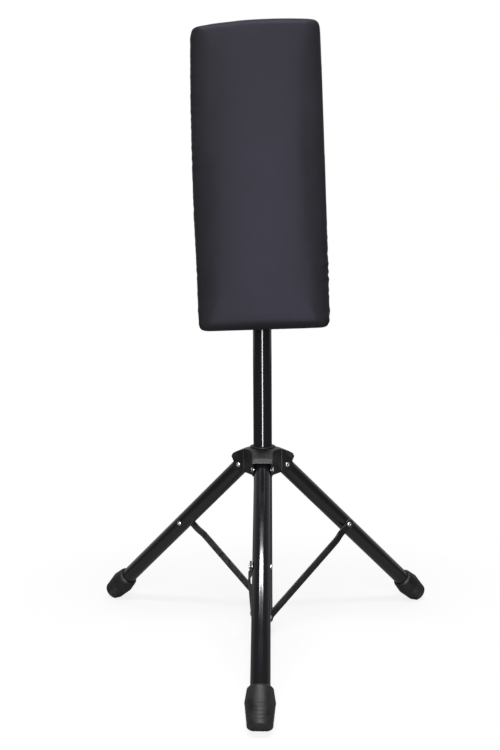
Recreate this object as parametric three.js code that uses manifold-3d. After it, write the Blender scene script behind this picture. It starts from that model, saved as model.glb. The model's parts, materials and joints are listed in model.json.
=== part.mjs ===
// Folding tripod stand: three tube legs on a sliding hub, side braces, and a telescopic post that
// swivels and carries a tilting padded rest. Millimetres, +Z up, floor at z = 0, front leg along -Y.
import * as THREE from "three";
import { mergeVertices } from "three/addons/utils/BufferGeometryUtils.js";
import Module from "manifold-3d";

const wasm = await Module();
wasm.setup();

// ---- Driving dimensions ------------------------------------------------------------------------
const GAP = 0.3; // clearance between separate pieces
const TUBE_SIDES = 20;
const FOOT_SIDES = 18;
const ROUND_SIDES = 14; // washers, bosses and eyes
const SMALL_SIDES = 9; // rivets, screws and studs
const CORNER_SEGMENTS = 2; // each rounded corner gets twice as many sides

const LEGS = [["front", -90], ["right", 30], ["left", 150]]; // name and azimuth in degrees
const RIVET_R = 2.5;
const RIVET_HOLE_R = RIVET_R + GAP;
const RIVET_HEAD_R = 3.8;
const RIVET_HEAD_H = 1.5;

const WALL = 1.2; // of every tube
const COLUMN_R = 14;
const COLUMN_LOW = 20;
const COLUMN_HIGH = 492;
const MAST_R = 12.5;
const MAST_LOW = 270;
const MAST_HIGH = 648;
const LEG_R = 12.5;

const PIVOT_R = 34.5; // leg pivot, from the column's axis
const PIVOT_Z = 260;
const LEG_LEAN = THREE.MathUtils.degToRad(46.67); // from the vertical, legs open
const LEG_FOLDED_LEAN = THREE.MathUtils.degToRad(2.7);
const LEG_REACH = 367; // pivot to the foot's end
const FOOT_LENGTH = 48;
const LEG_TUBE_START = -5;
const LEG_TUBE_END = 354.5;
const LEG_BRACE_AT = 157.3; // pivot to the brace's rivet

const BRACE_Z = 29; // lower brace pivot, on the column's side
const BRACE_HALF_WIDTH = 5.75;
const BRACE_EYE_R = 7.5;
const BRACE_THICK = 2.5;
const BRACE_OFFSET = 16.4; // inner face from the leg's mid-plane, at the column
const BRACE_TAB_OFFSET = 13.1; // the same at the leg

const HUB_LOW = 249.5;
const HUB_HIGH = 287.8;
const HUB_WALL_AT = 25.2; // flat walls, from the axis
const HUB_BORE_R = 16.3;
const LUG_HALF = 15; // half width over the two cheeks
const LUG_EYE_R = 10;
const HUB_ROOF = [[19.4, HUB_HIGH], [29, 284.9], [43.5, 278.4], [48, 270.4]]; // radius, height
const SLOT_HALF = LEG_R + GAP;
const SLOT_ROOM = 3.2; // more, above the open leg
const SLOT_R = 14.2; // round the leg's top end

const HUB_KNOB_Z = 267;
const HEIGHT_KNOB_Z = 503;
const STUD_R = 3;
const STUD_HOLE_R = STUD_R + GAP;

const TILT_Z = 675;
const TILT_REST = THREE.MathUtils.degToRad(3.8); // pad leaning back
const TILT_HOLE_R = 4.3;
const TILT_BOLT_R = 4;
const HEAD_HALF = 10; // half width of the mast head's lug
const CHEEK_THICK = 3;

const PAD_WIDTH = 182;
const PAD_HEIGHT = 418;
const PAD_CROWN = 7; // rise of its top edge
const PAD_SKEW = 1.55; // degrees, top to the left
const PAD_SHIFT = -1.4; // to the side
const PAD_BACK = -43; // rear face, from the tilt axis
const PAD_FRONT = -92;
const PAD_CENTRE_Z = -4;
const PAD_CORNER_R = 14;
const PAD_EDGE = 11; // rounding of the front edges
const SKIN = 1.4;
const BOARD_THICK = 12;
const SCREW_X = 22;
const SCREW_Z = 35;

// ---- Materials ---------------------------------------------------------------------------------
const finish = (color, roughness, metalness) =>
  new THREE.MeshStandardMaterial({ color, roughness, metalness });
const GLOSS_BLACK = finish(0x0b0b0d, 0.18, 0.4);
const SATIN_BLACK = finish(0x151516, 0.45, 0.4);
const HUB_PLASTIC = finish(0x161617, 0.42, 0);
const KNOB_PLASTIC = finish(0x131314, 0.5, 0);
const NYLON = finish(0x232325, 0.55, 0);
const RUBBER = finish(0x17171a, 0.8, 0);
const ZINC = finish(0xc9ccd0, 0.28, 1);
const BRASS = finish(0xb08d4a, 0.35, 1);
const LEATHER = finish(0x26252b, 0.5, 0);
const FELT = finish(0x1b1b1d, 0.95, 0);
const FOAM = finish(0xd9d3b8, 0.95, 0);
const PLYWOOD = finish(0xb98f5f, 0.8, 0);

// ---- Solids ------------------------------------------------------------------------------------
/** A closed geometry as a solid with its faces pointing out. */
function solid(geometry) {
  const bare = geometry.clone();
  bare.deleteAttribute("normal");
  bare.deleteAttribute("uv");
  const merged = mergeVertices(bare, 1e-4);
  const points = merged.attributes.position.array;
  const corner = (i) => new THREE.Vector3().fromArray(points, 3 * i);
  const faces = [];
  let volume = 0;
  for (let t = 0; t < merged.index.count; t += 3) {
    const [a, b, c] = merged.index.array.slice(t, t + 3);
    if (a === b || b === c || c === a) continue;
    faces.push([a, b, c]);
    volume += corner(a).dot(corner(b).cross(corner(c)));
  }
  const outward = volume < 0 ? faces.map(([a, b, c]) => [a, c, b]) : faces;
  const triVerts = new Uint32Array(outward.flat());
  return new wasm.Manifold(new wasm.Mesh({ numProp: 3, vertProperties: points, triVerts }));
}

/** A named mesh of a solid. */
function piece(name, body, material) {
  const { vertProperties, triVerts } = body.getMesh();
  const geometry = new THREE.BufferGeometry();
  geometry.setAttribute("position", new THREE.BufferAttribute(vertProperties, 3));
  geometry.setIndex(new THREE.BufferAttribute(triVerts, 1));
  geometry.computeVertexNormals();
  const mesh = new THREE.Mesh(geometry, material);
  mesh.name = name;
  return mesh;
}

/** Turns a geometry made along +Z so that it runs along the named axis. */
function along(axis, geometry) {
  if (axis === "x") geometry.rotateY(Math.PI / 2);
  if (axis === "y") geometry.rotateX(-Math.PI / 2);
  return geometry;
}

/** A solid of revolution from [radius, height] points that start and end on the axis. */
function turned(axis, profile, sides) {
  const points = profile.map(([r, h]) => new THREE.Vector2(r, h));
  return solid(along(axis, new THREE.LatheGeometry(points, sides).rotateX(Math.PI / 2)));
}

/** A ring of revolution from [radius, height] points that don't touch the axis. */
const turnedRing = (axis, profile, sides) => turned(axis, [...profile, profile[0]], sides);

/** A plain tube between two heights. */
function tube(axis, outer, inner, low, high, sides) {
  return turnedRing(axis, [[outer, low], [outer, high], [inner, high], [inner, low]], sides);
}

/** A plain round bar between two heights. */
function rod(axis, radius, low, high, sides = SMALL_SIDES) {
  return turned(axis, [[0, low], [radius, low], [radius, high], [0, high]], sides);
}

const shapeOf = (points) => new THREE.Shape(points.map(([x, y]) => new THREE.Vector2(x, y)));

/** A shape in the X-Y plane, extruded between two heights. */
function upright(shape, low, high) {
  const options = { depth: high - low, bevelEnabled: false, curveSegments: CORNER_SEGMENTS };
  return solid(new THREE.ExtrudeGeometry(shape, options).translate(0, 0, low));
}

/** A shape in the X-Z plane, extruded between two values of y. */
function sideways(shape, low, high) {
  const options = { depth: high - low, bevelEnabled: false, curveSegments: CORNER_SEGMENTS };
  const geometry = new THREE.ExtrudeGeometry(shape, options);
  return solid(geometry.rotateX(Math.PI / 2).translate(0, high, 0));
}

/** A block between two corners. */
function block([x0, y0, z0], [x1, y1, z1]) {
  const geometry = new THREE.BoxGeometry(x1 - x0, y1 - y0, z1 - z0);
  return solid(geometry.translate((x0 + x1) / 2, (y0 + y1) / 2, (z0 + z1) / 2));
}

/** Points of an arc, both ends included; angles in degrees. */
function arc([x, y], radius, from, to, steps) {
  return Array.from({ length: steps + 1 }, (_, i) => {
    const angle = THREE.MathUtils.degToRad(from + ((to - from) * i) / steps);
    return [x + radius * Math.cos(angle), y + radius * Math.sin(angle)];
  });
}

/** A gripping outline with rounded lobes. */
function lobed(radius, depth, lobes) {
  const steps = lobes * 4;
  const points = Array.from({ length: steps }, (_, i) => {
    const angle = (2 * Math.PI * i) / steps;
    const r = radius - (depth * (1 - Math.cos(lobes * angle))) / 2;
    return [r * Math.cos(angle), r * Math.sin(angle)];
  });
  return shapeOf(points);
}

function group(...children) {
  const made = new THREE.Group();
  made.add(...children);
  return made;
}

/** Children placed in the frame of one leg, whose +X points away from the column. */
function legFrame(azimuth, ...children) {
  const frame = group(...children);
  frame.rotation.z = THREE.MathUtils.degToRad(azimuth);
  return frame;
}

// ---- Column ------------------------------------------------------------------------------------
const BRACE_SIDES = LEGS.map(([, azimuth]) => azimuth - 90); // where the lower pivots stand

/** Cuts the three radial holes of the lower brace pivots. */
function withBraceHoles(body, from) {
  return BRACE_SIDES.reduce((cut, azimuth) => {
    const hole = rod("x", RIVET_HOLE_R, from, COLUMN_R + 2).rotate([0, 0, azimuth]);
    return cut.subtract(hole.translate([0, 0, BRACE_Z]));
  }, body);
}

function centreColumn() {
  const bare = tube("z", COLUMN_R, COLUMN_R - WALL, COLUMN_LOW, COLUMN_HIGH, TUBE_SIDES);
  return piece("centre_column", withBraceHoles(bare, 10), GLOSS_BLACK);
}

function columnEndPlug() {
  const low = COLUMN_LOW - 2.5;
  const rim = COLUMN_LOW - GAP;
  const bodyR = COLUMN_R - WALL - GAP;
  const profile = [
    [0, low], [13, low], [14.4, low + 1], [14.4, rim], [bodyR, rim], [bodyR, 44], [0, 44],
  ];
  return piece("column_end_plug", withBraceHoles(turned("z", profile, TUBE_SIDES), 5.5), NYLON);
}

/** Clamp at the column's top, with a boss for the height knob at its back. */
function heightCollar() {
  const seat = COLUMN_R + GAP;
  const bore = MAST_R + 0.4;
  const step = COLUMN_HIGH + GAP;
  const profile = [
    [18, 470], [20, 472], [20, 490], [18.6, 494], [18.6, 512], [16.6, 514],
    [bore, 514], [bore, step], [seat, step], [seat, 470],
  ];
  const boss = turned("y", [[0, 15], [9, 15], [9, 23.5], [8, 24.5], [0, 24.5]], ROUND_SIDES);
  const hole = rod("y", STUD_HOLE_R, 10, 30).add(rod("y", 5.3, 17, 30, ROUND_SIDES));
  const body = turnedRing("z", profile, TUBE_SIDES)
    .add(boss.translate([0, 0, HEIGHT_KNOB_Z]))
    .subtract(hole.translate([0, 0, HEIGHT_KNOB_Z]))
    .subtract(rod("z", bore, 495, 520, TUBE_SIDES));
  return piece("height_collar", body, HUB_PLASTIC);
}

/** Knob whose stud runs along +Y from the origin of its own frame to its grip. */
function clampKnob(name, { tip, face, end, radius, z }) {
  const stud = piece(`${name}_stud`, rod("y", STUD_R, tip, end - 4), ZINC);
  const crown = lobed(radius, 2.4, 6);
  const options = { depth: end - face - 3, bevelThickness: 1.5, bevelSize: 1.5, bevelSegments: 1 };
  const bar = new THREE.ExtrudeGeometry(crown, options).translate(0, 0, face + 3.5);
  const skirt = turned("y", [[0, face], [7, face], [8, face + 5], [0, face + 5]], ROUND_SIDES);
  const body = solid(along("y", bar))
    .add(skirt)
    .subtract(rod("y", STUD_HOLE_R, face - 1, end - 4 + GAP))
    .intersect(rod("y", radius + 4, face, end, ROUND_SIDES));
  const made = group(piece(`${name}_grip`, body, KNOB_PLASTIC), stud);
  made.position.z = z;
  return made;
}

function heightClamp() {
  const insert = tube("y", 5, STUD_HOLE_R, 17.4, 24.2, ROUND_SIDES).translate([0, 0, HEIGHT_KNOB_Z]);
  const knob = { tip: MAST_R + 0.6, face: 26, end: 41.2, radius: 12, z: HEIGHT_KNOB_Z };
  return group(piece("collar_insert", insert, BRASS), clampKnob("height_knob", knob));
}

// ---- Hub ---------------------------------------------------------------------------------------
/** One clevis lug in its leg's frame. */
function lug() {
  const high = HUB_HIGH + 5; // the roof is cut from it later
  const profile = [
    [10, HUB_LOW], [30, HUB_LOW], ...arc([PIVOT_R, PIVOT_Z], LUG_EYE_R, -90, 27, 4),
    [49.3, 275.8], [49.3, high], [10, high],
  ];
  return sideways(shapeOf(profile), -LUG_HALF, LUG_HALF);
}

/** Room for one leg's top end, from the open to the folded place. */
function legSlot() {
  const reach = 60;
  const edge = (lean, side, distance) => [
    PIVOT_R + distance * Math.sin(lean) + side * Math.cos(lean),
    PIVOT_Z - distance * Math.cos(lean) + side * Math.sin(lean),
  ];
  const above = SLOT_HALF + SLOT_ROOM;
  const sweep = [
    edge(LEG_LEAN, above, 0), edge(LEG_FOLDED_LEAN, -SLOT_HALF, 0),
    edge(LEG_FOLDED_LEAN, -SLOT_HALF, reach), edge(LEG_LEAN, above, reach),
  ];
  return sideways(shapeOf(sweep), -SLOT_HALF, SLOT_HALF)
    .add(rod("y", SLOT_R, -SLOT_HALF, SLOT_HALF, TUBE_SIDES).translate([PIVOT_R, 0, PIVOT_Z]))
    .add(rod("y", RIVET_HOLE_R, -20, 20).translate([PIVOT_R, 0, PIVOT_Z]));
}

function legHub() {
  const cornerR = 2 * HUB_WALL_AT - LUG_HALF * Math.sqrt(3); // where walls meet the lugs
  const plan = LEGS.flatMap(([, azimuth]) => {
    const turn = THREE.MathUtils.degToRad(azimuth);
    return [-LUG_HALF, LUG_HALF].map((side) => [
      cornerR * Math.cos(turn) - side * Math.sin(turn),
      cornerR * Math.sin(turn) + side * Math.cos(turn),
    ]);
  });
  const wide = 60;
  const eaves = 262;
  const roof = [[0, HUB_LOW], [wide, HUB_LOW], [wide, eaves], ...HUB_ROOF.toReversed(), [0, HUB_HIGH]];
  let body = upright(shapeOf(plan), HUB_LOW, HUB_HIGH + 5);
  for (const [, azimuth] of LEGS) body = body.add(lug().rotate([0, 0, azimuth]));
  body = body.intersect(turned("z", roof, TUBE_SIDES));
  for (const [, azimuth] of LEGS) body = body.subtract(legSlot().rotate([0, 0, azimuth]));
  const studHole = rod("y", STUD_HOLE_R, 10, 40).add(rod("y", 6, 19.9, 40, 6));
  body = body
    .subtract(rod("z", HUB_BORE_R, 240, 300, TUBE_SIDES))
    .subtract(studHole.translate([0, 0, HUB_KNOB_Z]));
  return piece("leg_hub", body, HUB_PLASTIC);
}

function hubFittings() {
  const sleeveR = HUB_BORE_R - GAP;
  const flangeR = 18.9;
  const bush = turnedRing("z", [
    [sleeveR, HUB_LOW + 0.5], [sleeveR, HUB_HIGH + GAP], [flangeR, HUB_HIGH + GAP],
    [flangeR, HUB_HIGH + 2.4], [COLUMN_R + GAP, HUB_HIGH + 2.4], [COLUMN_R + GAP, HUB_LOW + 0.5],
  ], TUBE_SIDES).subtract(rod("y", STUD_HOLE_R, 8, 30).translate([0, 0, HUB_KNOB_Z]));
  const nut = rod("y", 5.6, 20.2, 24.9, 6).subtract(rod("y", STUD_HOLE_R, 20, 27));
  const knob = { tip: COLUMN_R + 0.6, face: 28, end: 42, radius: 11.5, z: HUB_KNOB_Z };
  return group(
    piece("hub_bush", bush, NYLON),
    piece("hub_nut", nut.translate([0, 0, HUB_KNOB_Z]), ZINC),
    clampKnob("hub_knob", knob),
  );
}

/** Rivet along Y with a domed head at each end. */
function legPivotRivet(name) {
  const face = LUG_HALF + GAP;
  const end = face + RIVET_HEAD_H;
  const profile = [
    [0, -end], [2.2, -end], [RIVET_HEAD_R, -face - 0.5], [RIVET_HEAD_R, -face], [RIVET_R, -face],
    [RIVET_R, face], [RIVET_HEAD_R, face], [RIVET_HEAD_R, face + 0.5], [2.2, end], [0, end],
  ];
  const rivet = turned("y", profile, SMALL_SIDES).translate([PIVOT_R, 0, PIVOT_Z]);
  return piece(`leg_pivot_rivet_${name}`, rivet, ZINC);
}

// ---- Leg, in its own frame: +X down the leg from its pivot, +Z on its upper side ------------------
function legTube(name) {
  const body = tube("x", LEG_R, LEG_R - WALL, LEG_TUBE_START, LEG_TUBE_END, TUBE_SIDES)
    .subtract(rod("y", RIVET_HOLE_R, -20, 20))
    .subtract(rod("y", RIVET_HOLE_R, -20, 20).translate([LEG_BRACE_AT, 0, 0]));
  return piece(`leg_tube_${name}`, body, GLOSS_BLACK);
}

function legTopPlug(name) {
  const domeR = SLOT_R - 0.8;
  const rim = LEG_TUBE_START - GAP;
  const dome = [0, 30, 60].map((deg) => {
    const angle = THREE.MathUtils.degToRad(deg);
    return [domeR * Math.sin(angle), -domeR * Math.cos(angle)];
  });
  const bodyR = LEG_R - WALL - GAP;
  const profile = [...dome, [Math.sqrt(domeR ** 2 - rim ** 2), rim], [bodyR, rim], [bodyR, 13], [0, 13]];
  const body = turned("x", profile, TUBE_SIDES).subtract(rod("y", RIVET_HOLE_R, -20, 20));
  return piece(`leg_top_plug_${name}`, body, NYLON);
}

/** Rubber boot, cut flat where it stands on the floor. */
function foot(name) {
  const rim = LEG_REACH - FOOT_LENGTH;
  const bore = LEG_R + GAP;
  const profile = [
    [0, LEG_REACH], ...arc([9.5, LEG_REACH - 6], 6, 90, 0, 3),
    [19, rim + 19], [16.2, rim + 2.6], [13.8, rim], [bore, rim],
    [bore, LEG_TUBE_END + GAP], [0, LEG_TUBE_END + GAP],
  ];
  const floor = new THREE.BoxGeometry(400, 400, 50).translate(LEG_REACH - PIVOT_R, 0, -25 - PIVOT_Z);
  floor.rotateY(LEG_LEAN - Math.PI / 2);
  return piece(`foot_${name}`, turned("x", profile, FOOT_SIDES).subtract(solid(floor)), RUBBER);
}

/** The part of the brace's rivet that stays in the leg: its shank and far head. */
function braceRivetTail(name) {
  const face = LEG_R + GAP;
  const end = face + RIVET_HEAD_H;
  const profile = [
    [0, -LEG_R - 0.1], [RIVET_R, -LEG_R - 0.1], [RIVET_R, face], [RIVET_HEAD_R, face],
    [RIVET_HEAD_R, face + 0.5], [2.2, end], [0, end],
  ];
  const body = turned("y", profile, SMALL_SIDES).translate([LEG_BRACE_AT, 0, 0]);
  return piece(`brace_rivet_tail_${name}`, body, ZINC);
}

function leg(name) {
  const made = group(legTube(name), legTopPlug(name), foot(name), braceRivetTail(name));
  made.position.set(PIVOT_R, 0, PIVOT_Z);
  made.rotation.y = Math.PI / 2 - LEG_LEAN;
  return made;
}

// ---- Brace, in its own frame: +X up the brace from its lower pivot ------------------------------
const BRACE_RUN = PIVOT_R + LEG_BRACE_AT * Math.sin(LEG_LEAN);
const BRACE_RISE = PIVOT_Z - LEG_BRACE_AT * Math.cos(LEG_LEAN) - BRACE_Z;
const BRACE_LENGTH = Math.hypot(BRACE_RUN, BRACE_RISE);
const BRACE_LEAN = Math.atan2(BRACE_RUN, BRACE_RISE); // from the vertical

/** Flat bar with round ends, stepped in so that its upper end lies against the leg. */
function braceBar(name) {
  const outer = BRACE_OFFSET + BRACE_THICK;
  const tabOuter = BRACE_TAB_OFFSET + BRACE_THICK;
  const stepStart = BRACE_LENGTH - 34;
  const stepEnd = BRACE_LENGTH - 20;
  const far = BRACE_LENGTH + 10;
  const strip = shapeOf([
    [-10, -outer], [stepStart, -outer], [stepEnd, -tabOuter], [far, -tabOuter],
    [far, -BRACE_TAB_OFFSET], [stepEnd, -BRACE_TAB_OFFSET], [stepStart, -BRACE_OFFSET],
    [-10, -BRACE_OFFSET],
  ]);
  const eye = (x) => rod("y", BRACE_EYE_R, -22, -10, ROUND_SIDES).translate([x, 0, 0]);
  const hole = (x) => rod("y", RIVET_HOLE_R, -30, 0).translate([x, 0, 0]);
  const bar = block([0, -22, -BRACE_HALF_WIDTH], [BRACE_LENGTH, -10, BRACE_HALF_WIDTH]);
  const body = eye(0).add(eye(BRACE_LENGTH)).add(bar)
    .intersect(upright(strip, -9, 9))
    .subtract(hole(0))
    .subtract(hole(BRACE_LENGTH));
  return piece(`brace_${name}`, body, SATIN_BLACK);
}

/** The part of the upper rivet that turns with the brace: its head and a short stub. */
function braceRivetHead(name) {
  const tip = LEG_R + 0.45;
  const face = BRACE_TAB_OFFSET + BRACE_THICK + GAP;
  const end = face + RIVET_HEAD_H;
  const profile = [
    [0, -end], [2.2, -end], [RIVET_HEAD_R, -face - 0.5], [RIVET_HEAD_R, -face], [RIVET_R, -face],
    [RIVET_R, -tip], [0, -tip],
  ];
  const body = turned("y", profile, SMALL_SIDES).translate([BRACE_LENGTH, 0, 0]);
  return piece(`brace_rivet_head_${name}`, body, ZINC);
}

function brace(name) {
  const made = group(braceBar(name), braceRivetHead(name));
  made.position.z = BRACE_Z;
  made.rotation.y = BRACE_LEAN - Math.PI / 2;
  return made;
}

/** Rivet and spacer that hold a brace's lower end on the column. */
function lowerPivot(name) {
  const face = BRACE_OFFSET + BRACE_THICK + GAP;
  const end = face + RIVET_HEAD_H;
  const profile = [
    [0, -end], [2.2, -end], [4.2, -face - 0.5], [4.2, -face], [RIVET_R, -face], [RIVET_R, -6], [0, -6],
  ];
  const spacer = tube("y", 6, RIVET_HOLE_R, -BRACE_OFFSET + GAP, -COLUMN_R - GAP, ROUND_SIDES);
  return group(
    piece(`brace_pivot_rivet_${name}`, turned("y", profile, SMALL_SIDES).translate([0, 0, BRACE_Z]), ZINC),
    piece(`brace_spacer_${name}`, spacer.translate([0, 0, BRACE_Z]), NYLON),
  );
}

// ---- Mast --------------------------------------------------------------------------------------
const PIN_R = 2;
const PIN_Z = MAST_HIGH - 12;

function mastGlide() {
  const bodyR = MAST_R - WALL - GAP;
  const rim = MAST_LOW - GAP;
  const profile = [[0, 262], [11.5, 262], [12.5, 263], [12.5, rim], [bodyR, rim], [bodyR, 292], [0, 292]];
  return piece("mast_glide", turned("z", profile, TUBE_SIDES), NYLON);
}

function mastTube() {
  const pinHole = rod("x", PIN_R + GAP, -20, 20).translate([0, 0, PIN_Z]);
  const body = tube("z", MAST_R, MAST_R - WALL, MAST_LOW, MAST_HIGH, TUBE_SIDES).subtract(pinHole);
  return piece("mast_tube", body, GLOSS_BLACK);
}

/** Fitting pinned into the mast's top, with the round lug that the rest tilts on. */
function mastHead() {
  const bodyR = MAST_R - WALL - GAP;
  const rim = MAST_HIGH + GAP;
  const profile = [
    [0, MAST_HIGH - 22], [bodyR, MAST_HIGH - 22], [bodyR, rim], [14, rim], [14, 655], [12, 658], [0, 658],
  ];
  const eye = rod("x", 13, -HEAD_HALF, HEAD_HALF, TUBE_SIDES).translate([0, 0, TILT_Z]);
  const neck = block([-HEAD_HALF, -9, 650], [HEAD_HALF, 9, TILT_Z]);
  const body = turned("z", profile, TUBE_SIDES)
    .add(eye)
    .add(neck)
    .subtract(rod("x", TILT_HOLE_R, -30, 30, ROUND_SIDES).translate([0, 0, TILT_Z]))
    .subtract(rod("x", PIN_R + GAP, -30, 30).translate([0, 0, PIN_Z]));
  return piece("mast_head", body, SATIN_BLACK);
}

function mastHeadPin() {
  return piece("mast_head_pin", rod("x", PIN_R, -12.4, 12.4).translate([0, 0, PIN_Z]), ZINC);
}

// ---- Rest, in its own frame: origin on the tilt axis, front face towards -Y ---------------------
const PLATE_BACK = PAD_BACK + GAP + 3;

/** Bracket with two cheeks on a base plate that is screwed to the rest's board. */
function tiltBracket() {
  const inner = HEAD_HALF + GAP + 0.3;
  const cheek = shapeOf([
    [PLATE_BACK - 2, -30], [PLATE_BACK, -30], ...arc([0, 0], 13, -60, 60, 6),
    [PLATE_BACK, 30], [PLATE_BACK - 2, 30],
  ]);
  const cheekGeometry = (x) =>
    upright(cheek, 0, CHEEK_THICK).rotate([90, 0, 90]).translate([x, 0, 0]);
  const corner = 8;
  const half = [30, 45];
  const plateShape = new THREE.Shape();
  plateShape.moveTo(-half[0] + corner, -half[1]);
  plateShape.lineTo(half[0] - corner, -half[1]);
  plateShape.absarc(half[0] - corner, -half[1] + corner, corner, -Math.PI / 2, 0, false);
  plateShape.absarc(half[0] - corner, half[1] - corner, corner, 0, Math.PI / 2, false);
  plateShape.absarc(-half[0] + corner, half[1] - corner, corner, Math.PI / 2, Math.PI, false);
  plateShape.absarc(-half[0] + corner, -half[1] + corner, corner, Math.PI, 1.5 * Math.PI, false);
  let body = sideways(plateShape, PLATE_BACK - 3, PLATE_BACK)
    .add(cheekGeometry(inner))
    .add(cheekGeometry(-inner - CHEEK_THICK))
    .subtract(rod("x", TILT_HOLE_R, -30, 30, ROUND_SIDES));
  for (const [x, z] of screwPlaces()) {
    body = body.subtract(rod("y", 2.6, PLATE_BACK - 6, PLATE_BACK + 3).translate([x, 0, z]));
  }
  return piece("tilt_bracket", body, SATIN_BLACK);
}

function screwPlaces() {
  return [[-SCREW_X, -SCREW_Z], [SCREW_X, -SCREW_Z], [-SCREW_X, SCREW_Z], [SCREW_X, SCREW_Z]];
}

function tiltFasteners() {
  const face = HEAD_HALF + GAP + 0.3 + CHEEK_THICK + GAP;
  const washerEnd = face + 1.5;
  const headFace = washerEnd + GAP;
  const bolt = turned("x", [
    [0, -headFace - 4], [4, -headFace - 3.6], [7.4, -headFace - 1.6], [8, -headFace], [TILT_BOLT_R, -headFace],
    [TILT_BOLT_R, 26], [0, 26],
  ], ROUND_SIDES);
  const washer = (low) => tube("x", 9, TILT_HOLE_R, low, low + 1.5, ROUND_SIDES);
  return group(
    piece("tilt_bolt", bolt, ZINC),
    piece("tilt_washer_left", washer(-washerEnd), ZINC),
    piece("tilt_washer_right", washer(face), ZINC),
    tiltKnob(headFace),
  );
}

function tiltKnob(face) {
  const options = { depth: 10, bevelThickness: 2, bevelSize: 2, bevelSegments: 1 };
  const bar = new THREE.ExtrudeGeometry(lobed(17, 4, 5), options).translate(0, 0, face + 7);
  const skirt = turned("x", [[0, face], [8.5, face], [10, face + 7], [0, face + 7]], ROUND_SIDES);
  const body = solid(along("x", bar)).add(skirt).subtract(rod("x", TILT_HOLE_R, 0, 26.6, ROUND_SIDES));
  return piece("tilt_knob", body, KNOB_PLASTIC);
}

/** Rounded rectangle of the rest's outline, drawn in by a margin. */
function padOutline(margin) {
  const w = PAD_WIDTH / 2 - margin;
  const h = PAD_HEIGHT / 2 - margin;
  const r = Math.max(PAD_CORNER_R - margin, 2);
  const shape = new THREE.Shape();
  shape.moveTo(-w + r, -h);
  shape.lineTo(w - r, -h);
  shape.absarc(w - r, -h + r, r, -Math.PI / 2, 0, false);
  shape.absarc(w - r, h - r, r, 0, Math.PI / 2, false);
  shape.quadraticCurveTo(0, h + 2 * PAD_CROWN, -w + r, h);
  shape.absarc(-w + r, h - r, r, Math.PI / 2, Math.PI, false);
  shape.absarc(-w + r, -h + r, r, Math.PI, 1.5 * Math.PI, false);
  return shape;
}

/** Screwed on slightly askew. */
function askew(body) {
  return body.rotate([0, -PAD_SKEW, 0]).translate([PAD_SHIFT, 0, 0]);
}

/** Cushion form with rounded front edges, from its front face back to a cut. */
function padForm(margin, front, back) {
  const edge = PAD_EDGE - margin;
  const options = {
    depth: back - front + 20, bevelThickness: edge, bevelSize: edge, bevelSegments: 2,
    curveSegments: CORNER_SEGMENTS,
  };
  const bevelled = new THREE.ExtrudeGeometry(padOutline(margin + edge), options);
  const body = solid(bevelled.rotateX(-Math.PI / 2).translate(0, front + edge, 0)).mirror([0, 0, 1]);
  return body.intersect(block([-200, front - 5, -300], [200, back, 300]));
}

function padPieces() {
  const backCoverFront = PAD_BACK - 1;
  const skinBack = backCoverFront - GAP;
  const boardBack = skinBack - SKIN - GAP;
  const boardFront = boardBack - BOARD_THICK;
  const foamBack = boardFront - GAP;
  const inner = SKIN + GAP;
  const hollow = padForm(SKIN, PAD_FRONT + SKIN, skinBack - SKIN);
  const mouth = sideways(padOutline(24), skinBack - SKIN - 1, skinBack + 1);
  const cover = askew(padForm(0, PAD_FRONT, skinBack).subtract(hollow).subtract(mouth));
  let backCover = askew(sideways(padOutline(6), backCoverFront, PAD_BACK));
  let board = askew(sideways(padOutline(inner), boardFront, boardBack));
  let foam = askew(padForm(inner, PAD_FRONT + inner, foamBack));
  const screws = [];
  screwPlaces().forEach(([x, z], i) => {
    const place = [x, 0, z - PAD_CENTRE_Z];
    const hole = rod("y", 2.6, boardFront - 8, PAD_BACK + 1).translate(place);
    const barrel = rod("y", 4.2, boardFront - 1, boardFront + 9, SMALL_SIDES).translate(place);
    const pocket = rod("y", 8.4, foamBack - 2, foamBack + 1, SMALL_SIDES).translate(place);
    backCover = backCover.subtract(hole);
    board = board.subtract(hole).subtract(barrel);
    foam = foam.subtract(pocket).subtract(hole);
    screws.push(...screwAndNut(i + 1, x, z, boardFront));
  });
  const cushion = group(
    piece("pad_cover", cover, LEATHER),
    piece("pad_foam", foam, FOAM),
    piece("pad_board", board, PLYWOOD),
    piece("pad_back_cover", backCover, FELT),
  );
  cushion.position.z = PAD_CENTRE_Z;
  return group(cushion, ...screws);
}

/** Machine screw through the base plate, and the tee nut that it pulls on inside the board. */
function screwAndNut(number, x, z, boardFront) {
  const seat = PLATE_BACK + GAP;
  const screw = turned("y", [
    [0, boardFront - 1], [2.3, boardFront - 1], [2.3, seat], [4.6, seat], [4.2, seat + 1.6], [2.4, seat + 2.6],
    [0, seat + 2.6],
  ], SMALL_SIDES);
  const nut = turnedRing("y", [
    [2.6, boardFront - 1.5], [8, boardFront - 1.5], [8, boardFront - GAP], [3.9, boardFront - GAP],
    [3.9, boardFront + 8.5], [2.6, boardFront + 8.5],
  ], SMALL_SIDES);
  return [
    piece(`bracket_screw_${number}`, screw.translate([x, 0, z]), ZINC),
    piece(`tee_nut_${number}`, nut.translate([x, 0, z]), ZINC),
  ];
}

function rest() {
  const made = group(tiltBracket(), tiltFasteners(), padPieces());
  made.position.z = TILT_Z;
  made.rotation.x = -TILT_REST;
  return made;
}

// ---- Assembly ----------------------------------------------------------------------------------
const stand = group(
  centreColumn(), columnEndPlug(), heightCollar(), heightClamp(), legHub(), hubFittings(),
  mastGlide(), mastTube(), mastHead(), mastHeadPin(), rest(),
);
for (const [name, azimuth] of LEGS) {
  stand.add(legFrame(azimuth, legPivotRivet(name), leg(name), brace(name), lowerPivot(name)));
}

// The origin is the middle of the footprint, so the column stands a little behind it.
const footprint = new THREE.Box3().setFromObject(stand, true);
stand.position.y = -(footprint.min.y + footprint.max.y) / 2;

export default group(stand);
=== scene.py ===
import json
import math

import bmesh
import bpy
from mathutils import Matrix, Vector, noise

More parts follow.
